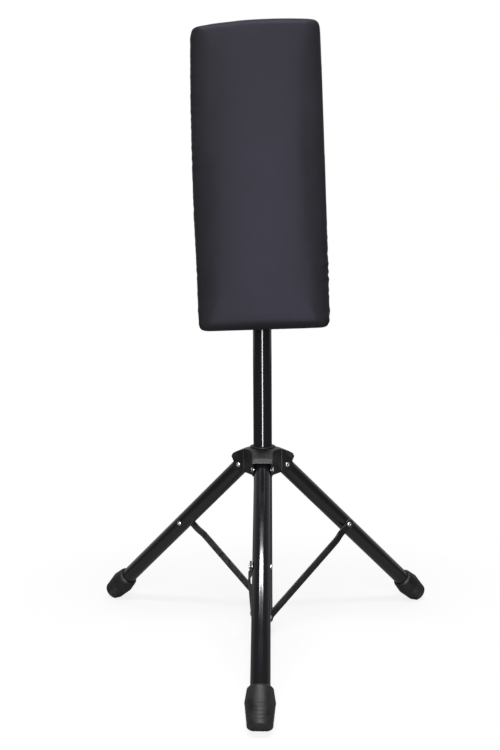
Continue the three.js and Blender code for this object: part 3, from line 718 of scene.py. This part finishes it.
# ---- Column fittings ----------------------------------------------------------------------------
def lobed_body(profile, radius, depth, count, place):
    """Hand knob of (radius, height) points: round at its middle, with count hollows at its rim."""
    angles = [2 * math.pi * k / (12 * count) for k in range(12 * count)]
    loops = []
    for r, height in profile:
        hollow = depth * ease(r, 0.62 * radius, 0.92 * radius)
        loop = []
        for angle in angles:
            reach = r - hollow * (0.5 - 0.5 * math.cos(count * angle)) ** 1.5
            loop.append(place @ Vector((reach * math.cos(angle), reach * math.sin(angle), height)))
        loops.append(loop)
    return skinned(loops)


def clamp_knob(name, joint, cad, tip, face, end, radius, body):
    """Lobed hand knob on a stud that points at the post."""
    place = POST @ shift(0, 0, spot(joint).z / MM) @ ALONG_Y
    profile = rounded([
        (3.2, face), (radius - 4.6, face, 0.4), (radius - 5.2, face + 3.2, 0.8),
        (radius - 1.2, face + 3.9, 0.8), (radius, face + 5.2, 1), (radius, end - 2.4, 1.6),
        (radius - 2.8, end, 1.6), (5.6, end, 0.5), (5, end - 0.9, 0.4), (0.4, end - 1),
    ], step=22)
    show(f"{name}_handle", lobed_body(profile, radius, 2.2, 6, place), body, "knob_black",
         f"{cad}_grip")
    stud = rounded([(0, tip), (2.4, tip, 0.3), (3, tip + 0.7, 0.3), (3, face + 2), (0, face + 2)])
    show(f"{name}_screw", lathe(stud, place, 32), body, "zinc_plate", f"{cad}_stud")


def column_fittings():
    """Plug under the column, clamp of the telescopic mast, and both clamp knobs."""
    low = z_span("column_end_plug")[0]
    rim = z_span("centre_column")[0] - 0.1
    plug = rounded([(0, low + 0.8), (8, low + 0.8, 0.5), (9, low, 0.6), (13.2, low, 1),
                    (14.4, low + 1.1, 0.8), (14.4, rim, 0.3), (12.4, rim), (12.4, 44), (0, 44)])
    show("column_foot_plug", lathe(plug, POST, 96), "column", "nylon_black", "column_end_plug")

    low, high = z_span("height_collar")
    top = z_span("centre_column")[1]
    ribs = []
    for k in range(4):
        z = low + 5 + 4.2 * k
        ribs += [(20, z, 0.5), (19.3, z + 0.6, 0.3), (19.3, z + 1.6, 0.3), (20, z + 2.2, 0.5)]
    ring = [(COLUMN_FIT_R, low, 0.4), (17.8, low, 1), (20, low + 2.4, 1.4)] + ribs
    ring += [(20, top - 1, 1.6), (18.5, top + 2.6, 1), (18.3, high - 2.6, 1.6), (16.2, high, 1),
             (12.9, high, 0.5), (12.9, top + 0.3), (COLUMN_FIT_R, top + 0.3)]
    place = POST @ shift(0, 0, spot("height_knob_turn").z / MM) @ ALONG_Y
    boss = rounded([(0, 14), (9.4, 14), (8.8, 23.4, 0.9), (7.6, 24.4, 0.6), (0, 24.4)])
    bore = [(0, low - 5), (12.95, low - 5), (12.95, high + 5), (0, high + 5)]
    cuts = [prism(circle(5.1, steps=40), 16, 30, place), lathe(bore, POST, 96)]
    mesh = cast([lathe(rounded(ring, True), POST, 128, True), lathe(boss, place, 64)], cuts, 0.45, 4)
    show("height_clamp_collar", mesh, "column", "moulded_black", "height_collar", sharp=180)
    insert = rounded([(3.3, 17.4, 0.2), (5, 17.4), (5, 24.6, 0.3), (3.3, 24.6, 0.4)], True)
    show("clamp_insert", lathe(insert, place, 48, True), "column", "brass_insert", "collar_insert")
    clamp_knob("height_clamp", "height_knob_turn", "height_knob", 13.1, 26, 41.2, 12, "height_knob")
    clamp_knob("hub_lock", "hub_knob_turn", "hub_knob", 14.6, 28, 42, 11.5, "hub_knob")


# ---- Mast head and tilt joint -------------------------------------------------------------------
GLIDE_SHOULDER = 269.7
NECK_LOW = 652
TILT_EYE_R = 13
PLATE_FRONT, PLATE_BACK = -42.7, -39.7  # along Y of the rest, from the tilt joint
CHEEK_IN, CHEEK_OUT, CHEEK_THICK = 10.6, 13.6, 3
SCREWS = [(x, z) for z in (-35, 35) for x in (-22, 22)]


def mast_fittings():
    """Bush in the mast's lower end, and the pinned head that carries the tilt joint."""
    low, high = z_span("mast_glide")
    glide = rounded([(0, low), (11.6, low, 0.8), (12.5, low + 1.2, 0.6),
                     (12.5, GLIDE_SHOULDER, 0.3), (11, GLIDE_SHOULDER), (11, high), (0, high)])
    show("mast_bush", lathe(glide, POST, 64), "glide", "nylon_black", "mast_glide")

    low, high = z_span("mast_head")
    tube_top = z_span("mast_tube")[1] + 0.1
    centre = spot("pad_tilt").z / MM
    plug = rounded([(0, low), (11, low), (11, tube_top), (14, tube_top, 0.5),
                    (14, tube_top + 6.5, 1.4), (11.6, tube_top + 9.6, 1), (0, tube_top + 9.6)])
    across = POST @ shift(0, 0, centre) @ ALONG_X
    eye = prism(circle(TILT_EYE_R, steps=72), -10, 10, across)
    neck = prism([(-10, -9.5), (10, -9.5), (10, 9.5), (-10, 9.5)], NECK_LOW, centre, POST)
    hole = prism(circle(4.2, steps=32), -15, 15, across)
    mesh = cast([lathe(plug, POST, 96), eye, neck], [hole], 0.5, 5)
    show("tilt_head", mesh, "mast", "satin_black_paint", "mast_head", sharp=180)
    pin_z = middle("mast_head_pin").z / MM
    pin = rounded([(0, -12.75), (1.9, -12.75, 0.5), (1.9, 12.75, 0.5), (0, 12.75)])
    show("head_pin", lathe(pin, POST @ shift(0, 0, pin_z) @ ALONG_X, 24), "mast", "zinc_plate",
         "mast_head_pin")


def tilt_joint():
    """Bracket with two cheeks, its carriage bolt, washers and star knob, and the screws."""
    plate_outline = rounded([(-30, -45, 8), (30, -45, 8), (30, 45, 8), (-30, 45, 8)], True)
    plate = prism(plate_outline, -PLATE_BACK, -PLATE_FRONT, REST @ SIDEWAYS)
    side = [(PLATE_BACK - 2, -31), (PLATE_BACK + 3, -29)] + arc((0, 0), TILT_EYE_R, -62, 62, 6)
    side += [(PLATE_BACK + 3, 29), (PLATE_BACK - 2, 31)]
    turn = Matrix((Y, Z, X)).transposed().to_4x4()
    cheeks = [prism(side, low, low + CHEEK_THICK, REST @ turn) for low in (CHEEK_IN, -CHEEK_OUT)]
    across = REST @ ALONG_X
    cuts = [prism(circle(4.25, steps=32), -30, 30, across)]
    lightening = rounded([(-33, -12, 4), (-17, -7, 4), (-17, 7, 4), (-33, 12, 4)], True)
    cuts.append(prism(lightening, -20, 20, REST @ turn))
    mesh = cast([plate] + cheeks, cuts, 0.55, 4)
    show("rest_bracket", mesh, "pad", "satin_black_paint", "tilt_bracket", sharp=180)

    bolt = rounded([(0, -19.8), (3.5, -19.6, 2), (7, -17.9, 2), (8, -15.9, 0.3), (8, -15.6, 0.2),
                    (4, -15.6), (4, 26, 0.5), (0, 26)])
    show("carriage_bolt", lathe(bolt, across, 48), "pad", "zinc_plate", "tilt_bolt")
    for name, low in (("left", -15.4), ("right", 13.9)):
        ring = rounded([(4.3, low, 0.2), (9, low, 0.4), (9, low + 1.5, 0.4), (4.3, low + 1.5, 0.2)], True)
        show(f"{name}_flat_washer", lathe(ring, across, 48, True), "pad", "zinc_plate",
             f"tilt_washer_{name}")
    grip = rounded([
        (4.2, 15.7), (8.6, 15.7, 0.4), (8.2, 21, 1.5), (15, 22.2, 1.5), (17, 24.2, 1.4),
        (17, 31.4, 2.6), (13.4, 34.6, 2.8), (6.8, 34.6, 0.5), (6.2, 33.5, 0.4), (0.4, 33.3),
    ], step=20)
    show("tilt_star_knob", lobed_body(grip, 17, 4.2, 5, across), "tilt_lever", "knob_black",
         "tilt_knob")
    for number, (x, z) in enumerate(SCREWS, 1):
        place = REST @ shift(x, 0, z) @ ALONG_Y
        screw = rounded([(0, BOARD_FRONT - 1), (2.3, BOARD_FRONT - 1), (2.3, PLATE_BACK, 0.1),
                         (4.6, PLATE_BACK, 0.3), (4.4, PLATE_BACK + 1.5, 0.9),
                         (2.6, PLATE_BACK + 2.6, 0.9), (0, PLATE_BACK + 2.7)])
        slots = [prism([(-2.3, -0.45), (2.3, -0.45), (2.3, 0.45), (-2.3, 0.45)],
                       PLATE_BACK + 1.3, PLATE_BACK + 4, place @ Matrix.Rotation(angle, 4, "Z"))
                 for angle in (0.3 * number, 0.3 * number + math.pi / 2)]
        show(f"rest_screw_{number}", cast([lathe(screw, place, 32)], slots, 0, 0), "pad",
             "zinc_plate", f"bracket_screw_{number}")


# ---- Padded rest --------------------------------------------------------------------------------
PAD_WIDTH, PAD_HEIGHT = 181, 417.5
PAD_CORNER_R = 8
PAD_CENTRE_Z = -4.2  # from the tilt joint
PAD_FRONT_FACE, PAD_BACK_FACE = -92, -44.3  # like the plate's faces
BOARD_FRONT, BOARD_BACK = -58, -46.2
BOARD_MARGIN = 7
TOP_CROWN = 7
SIDE_BOW = 2.5
TAPER = 0.01  # wider at the bottom
SIDE_ROLL, END_ROLL = 24, 10  # reach of the round front edges, across and along
ROLL_DEPTH = 16
DOME = 3
PAD_TURN = Matrix.Rotation(math.radians(1.55), 2)
PAD_MOVE = Vector((-1.4, 0))
PUFF_FRAMES = 20
CLOTH_MARGIN = 7
STAPLE_PITCH = 27


def pad_outline(across, along):
    """Outline of the rest as x and z, drawn in by two margins: crowned top, bowed left side."""
    w, h = PAD_WIDTH / 2 - across, PAD_HEIGHT / 2 - along
    r = min(w, max(PAD_CORNER_R - min(across, along), 3))
    line = []
    upright, level = 56, 24  # points along the sides and along the ends
    corners = ((1, -1, -90, upright), (1, 1, 0, level), (-1, 1, 90, upright), (-1, -1, 180, level))
    for x, z, start, count in corners:
        corner = [Vector(c) for c in arc((x * (w - r), z * (h - r)), r, start, start + 90, 90 / 8)]
        step = Vector((0, -2 * z * (h - r))) if start % 180 else Vector((-2 * x * (w - r), 0))
        line += corner + [corner[-1] + step * k / count for k in range(1, count)]
    for point in line:
        crown = TOP_CROWN * max(0, 1 - ((point.x - 14) / 100) ** 2)
        bow = SIDE_BOW * max(0, 1 - ((point.y - 40) / 170) ** 2)
        point.y += crown * max(0, point.y / h) ** 3
        point.x -= bow * max(0, -point.x / w) ** 3
        point.x *= 1.004 - TAPER * point.y / h
    return [PAD_TURN @ point + PAD_MOVE for point in line]


def pad_form(margin, front, back):
    """Closed mesh of the outline between two depths: domed front, round edges, flat back."""
    rings = [(margin + 2, margin + 2, back), (margin + 0.6, margin + 0.6, back - 0.6)]
    rings += [(margin, margin, back - 2 + (front + ROLL_DEPTH - back + 2) * k / 6) for k in range(6)]
    for k in range(9):
        angle = math.radians(90 * k / 8)
        roll = 1 - math.cos(angle)
        rings.append((margin + SIDE_ROLL * roll, margin + END_ROLL * roll,
                      front + ROLL_DEPTH * (1 - math.sin(angle))))
    flat_x, flat_z = rings[-1][:2]
    run = PAD_WIDTH / 2 - 6 - flat_x
    rings += [(flat_x + run * k / 12, flat_z + run * k / 12, front) for k in range(1, 13)]
    loops = []
    for across, along, depth in rings:
        loop = []
        for p in pad_outline(across, along):
            u = min(1, abs(p.x) / (PAD_WIDTH / 2 - flat_x))
            v = min(1, abs(p.y) / (PAD_HEIGHT / 2 - flat_z))
            swell = DOME * (1 - u**2.5) * (1 - v**6) if across > flat_x else 0
            loop.append(REST @ Vector((p.x, depth - swell, p.y + PAD_CENTRE_Z)))
        loops.append(loop)
    return skinned(loops)


def puffed(mesh, voxel, pressure, cap, held):
    """Mesh remeshed, then swelled by cloth simulation around the points that are held. The
    swelling stays under the cap, in millimetres."""
    obj = temporary(mesh)
    remesh = obj.modifiers.new("remesh", "REMESH")
    remesh.mode = "VOXEL"
    remesh.voxel_size = voxel * MM
    smooth = obj.modifiers.new("smooth", "SMOOTH")
    smooth.factor = 0.5
    smooth.iterations = 3
    even = applied(obj)
    bpy.data.objects.remove(obj)
    obj = temporary(even)
    group = obj.vertex_groups.new(name="held")
    group.add([v.index for v in even.vertices if held(REST.inverted() @ v.co)], 1, "REPLACE")
    cloth = obj.modifiers.new("cloth", "CLOTH")
    cloth.settings.vertex_group_mass = "held"
    cloth.settings.quality = 6
    cloth.settings.mass = 0.3
    cloth.settings.tension_stiffness = 40
    cloth.settings.compression_stiffness = 40
    cloth.settings.shear_stiffness = 20
    cloth.settings.bending_stiffness = 4
    cloth.settings.use_pressure = True
    cloth.settings.uniform_pressure_force = pressure
    cloth.settings.effector_weights.gravity = 0
    cloth.collision_settings.use_collision = False
    cloth.point_cache.frame_start = 1
    cloth.point_cache.frame_end = PUFF_FRAMES
    for frame_number in range(1, PUFF_FRAMES + 1):
        bpy.context.scene.frame_set(frame_number)
    swelled = applied(obj)
    bpy.context.scene.frame_set(1)
    bpy.data.objects.remove(obj)
    for start, end in zip(even.vertices, swelled.vertices):
        move = end.co - start.co
        if move.length > 0:
            end.co = start.co + move.normalized() * cap * MM * math.tanh(move.length / (cap * MM))
    return swelled


def gathers(mesh):
    """Small gathers down the sides, deepest at the lower right, where leather was pulled round."""
    to_rest = REST.inverted()
    outward = REST.to_3x3() @ X
    for vertex in mesh.vertices:
        p = to_rest @ vertex.co
        right = p.x > 0
        side = ease(abs(p.x), PAD_WIDTH / 2 - 14, PAD_WIDTH / 2 - 3)
        low = ease(-p.z, 30, 130) if right else 0.35
        depth = 1.7 * low * side * noise.noise((p.z / 7, p.y / 25, 2 if right else 5))
        vertex.co += outward * (depth if right else -depth)


def cushion():
    """The upholstered rest, whose cover is held at the board and free in front of it."""
    start = pad_form(0.6, PAD_FRONT_FACE + DOME, PAD_BACK_FACE)
    mesh = puffed(start, voxel=4, pressure=0.5, cap=1.5, held=lambda p: p.y > BOARD_FRONT)
    obj = temporary(mesh)
    smooth = obj.modifiers.new("smooth", "SMOOTH")
    smooth.factor = 0.5
    smooth.iterations = 4
    fine = obj.modifiers.new("fine", "SUBSURF")
    fine.levels = fine.render_levels = 1
    mesh = applied(obj)
    bpy.data.objects.remove(obj)
    gathers(mesh)
    piece = show("leather_cushion", mesh, "pad", "black_leather", "pad_cover", "pad_foam", sharp=180)


def staple_places():
    """Evenly spaced places just inside the cloth's hem, each with its direction along the hem."""
    line = pad_outline(CLOTH_MARGIN + 5, CLOTH_MARGIN + 5)
    places = []
    travelled, wanted = 0, STAPLE_PITCH / 2
    for first, second in zip(line, line[1:] + line[:1]):
        length = (second - first).length
        while wanted <= travelled + length:
            share = (wanted - travelled) / length
            places.append((first.lerp(second, share), (second - first).normalized()))
            wanted += STAPLE_PITCH
        travelled += length
    return places


def back_cloth():
    """Thin cloth stretched over the back, puckered between its staples, and the staples."""
    places = staple_places()

    def height(p, rim):
        """How far the cloth's underside stands off the leather."""
        near = min((p - place).length for place, _ in places)
        pucker = 0.6 * ease(near, 1.5, 11) * rim
        slack = 0.15 + 0.25 * noise.noise((p.x / 45, p.y / 60, 3.1))
        fine = 0.08 * noise.noise((p.x / 13, p.y / 19, 8.7))
        return max(0.1, 0.1 + pucker + (slack + fine) * (1 - rim))

    hem = [CLOTH_MARGIN + 1.5 * k for k in range(14)]
    inner = [hem[-1] + (PAD_WIDTH / 2 - 1 - hem[-1]) * k / 24 for k in range(1, 25)]
    under, over = [], []
    for inset in hem + inner:
        rim = 1 - ease(inset, CLOTH_MARGIN + 6, CLOTH_MARGIN + 20)
        fold = 0.9 if inset < CLOTH_MARGIN + 1 else 1
        row = pad_outline(inset, inset)
        lows = [PAD_BACK_FACE + height(p, rim) for p in row]
        under.append([(p.x, low, p.y) for p, low in zip(row, lows)])
        over.append([(p.x, low + 0.5 * fold, p.y) for p, low in zip(row, lows)])
    loops = [[REST @ Vector((x, y, z + PAD_CENTRE_Z)) for x, y, z in loop]
             for loop in under[::-1] + over]
    cloth = show("back_cloth", skinned(loops), "pad", "black_felt", "pad_back_cover", sharp=180)

    wires = []
    for place, direction in places:
        along = Vector((direction.x, 0, direction.y))
        turn = Matrix((along, Y.cross(along), Y)).transposed().to_4x4()
        wire = REST @ shift(place.x, PAD_BACK_FACE + 0.55, place.y + PAD_CENTRE_Z) @ turn
        outline = rounded([(-5, -0.45, 0.3), (5, -0.45, 0.3), (5, 0.45, 0.3), (-5, 0.45, 0.3)], True)
        wires.append(prism(outline, 0, 0.55, wire))
    show("back_staples", join(wires), "pad", "zinc_plate")


def board_and_nuts():
    """Plywood inside the rest, and the nuts in it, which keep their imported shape."""
    outline = [(p.x, p.y + PAD_CENTRE_Z) for p in pad_outline(BOARD_MARGIN, BOARD_MARGIN)]
    holes = [prism(circle(4.4, place, 24), 40, 70, REST @ SIDEWAYS) for place in SCREWS]
    board = prism(outline, -BOARD_BACK, -BOARD_FRONT, REST @ SIDEWAYS)
    show("plywood_board", cast([board], holes, 0, 0), "pad", "plywood", "pad_board")
    for number in range(1, 5):
        mesh = frame["nodes"][f"tee_nut_{number}"].data
        mesh.materials.clear()
        mesh.materials.append(MATERIALS["zinc_plate"])


# ---- Studio -------------------------------------------------------------------------------------
EYE = Vector((0.01956, -1.2182, 0.5072))  # metres from the post's foot
LENS = 39.235
PAN, DOWN, ROLL = math.radians(-1.79), math.radians(5.18), math.radians(0.35)


def area_light(name, place, aim, size, power):
    data = bpy.data.lights.new(name, "AREA")
    data.shape = "RECTANGLE"
    data.size, data.size_y = size
    data.energy = power
    light = bpy.data.objects.new(name, data)
    light.location = place
    light.rotation_euler = (Vector(aim) - Vector(place)).to_track_quat("-Z", "Y").to_euler()
    bpy.context.collection.objects.link(light)


def camera():
    """Standing eye-level view from in front, a little to the right, slightly rolled."""
    look = Vector((math.sin(PAN) * math.cos(DOWN), math.cos(PAN) * math.cos(DOWN), -math.sin(DOWN)))
    side = Vector((math.cos(PAN), -math.sin(PAN), 0))
    up = side.cross(look)
    turned_side = math.cos(ROLL) * side - math.sin(ROLL) * up
    turned_up = math.sin(ROLL) * side + math.cos(ROLL) * up
    data = bpy.data.cameras.new("camera")
    data.lens = LENS
    data.sensor_width = 36
    data.clip_start, data.clip_end = 0.05, 50
    eye = bpy.data.objects.new("camera", data)
    turn = Matrix((turned_side, turned_up, -look)).transposed().to_4x4()
    eye.matrix_world = Matrix.Translation(AXIS + EYE) @ turn
    bpy.context.collection.objects.link(eye)
    bpy.context.scene.camera = eye


def camera_ray_switch(tree, others, seen):
    """One value for what the camera sees and another for what lights the object."""
    rays = tree.nodes.new("ShaderNodeLightPath")
    strength = tree.nodes.new("ShaderNodeMapRange")
    strength.inputs["To Min"].default_value = others
    strength.inputs["To Max"].default_value = seen
    tree.links.new(rays.outputs["Is Camera Ray"], strength.inputs["Value"])
    return strength.outputs["Result"]


def world():
    """White to the camera. To the object it brightens from dark in front to pale behind."""
    studio = bpy.data.worlds.new("studio")
    bpy.context.scene.world = studio
    studio.use_nodes = True
    tree = studio.node_tree
    background = tree.nodes["Background"]
    place = tree.nodes.new("ShaderNodeTexCoord")
    split = tree.nodes.new("ShaderNodeSeparateXYZ")
    tree.links.new(place.outputs["Generated"], split.inputs[0])
    tree.links.new(value_range(tree, split.outputs["Y"], 0.08, 0.6, 0, 0.9), background.inputs["Color"])
    white = tree.nodes.new("ShaderNodeBackground")
    white.inputs["Color"].default_value = (1, 1, 1, 1)
    rays = tree.nodes.new("ShaderNodeLightPath")
    mix = tree.nodes.new("ShaderNodeMixShader")
    tree.links.new(rays.outputs["Is Camera Ray"], mix.inputs[0])
    tree.links.new(background.outputs[0], mix.inputs[1])
    tree.links.new(white.outputs[0], mix.inputs[2])
    tree.links.new(mix.outputs[0], tree.nodes["World Output"].inputs["Surface"])


def floor():
    """White floor that takes soft shadows near the object and fades into the background."""
    bm = bmesh.new()
    bmesh.ops.create_circle(bm, cap_ends=True, segments=96, radius=12)
    mesh = mesh_from(bm)
    material, shader, tree = new_material("studio_floor", (0.9, 0.9, 0.9), 0.9, Specular_IOR_Level=0)
    glow = tree.nodes.new("ShaderNodeEmission")
    tree.links.new(camera_ray_switch(tree, 0.1, 1.02), glow.inputs["Strength"])
    place = tree.nodes.new("ShaderNodeTexCoord")
    distance = tree.nodes.new("ShaderNodeVectorMath")
    distance.operation = "LENGTH"
    tree.links.new(place.outputs["Object"], distance.inputs[0])
    mix = tree.nodes.new("ShaderNodeMixShader")
    tree.links.new(value_range(tree, distance.outputs["Value"], 0.78, 1, 0.3, 0.75), mix.inputs[0])
    tree.links.new(shader.outputs["BSDF"], mix.inputs[1])
    tree.links.new(glow.outputs["Emission"], mix.inputs[2])
    tree.links.new(mix.outputs["Shader"], tree.nodes["Material Output"].inputs["Surface"])
    mesh.materials.append(material)
    obj = bpy.data.objects.new("studio_floor", mesh)
    obj.location.z = -0.0005
    bpy.context.collection.objects.link(obj)


def studio():
    floor()
    world()
    area_light("front_strip", (0.03, -1.24, 0.72), (0.03, 0, 0.72), (0.16, 1.5), 21)
    area_light("overhead", (0, -0.62, 2.2), (0, -0.3, 0), (1.5, 0.2), 27)
    area_light("ceiling", (0, 0.6, 2.6), (0, 0, 0.4), (2.6, 1.6), 10)
    bpy.context.scene.view_settings.view_transform = "Standard"


def main():
    camera()
    studio()
    tubes()
    feet()
    hub()
    legs_and_braces()
    column_fittings()
    mast_fittings()
    tilt_joint()
    cushion()
    back_cloth()
    board_and_nuts()


main()
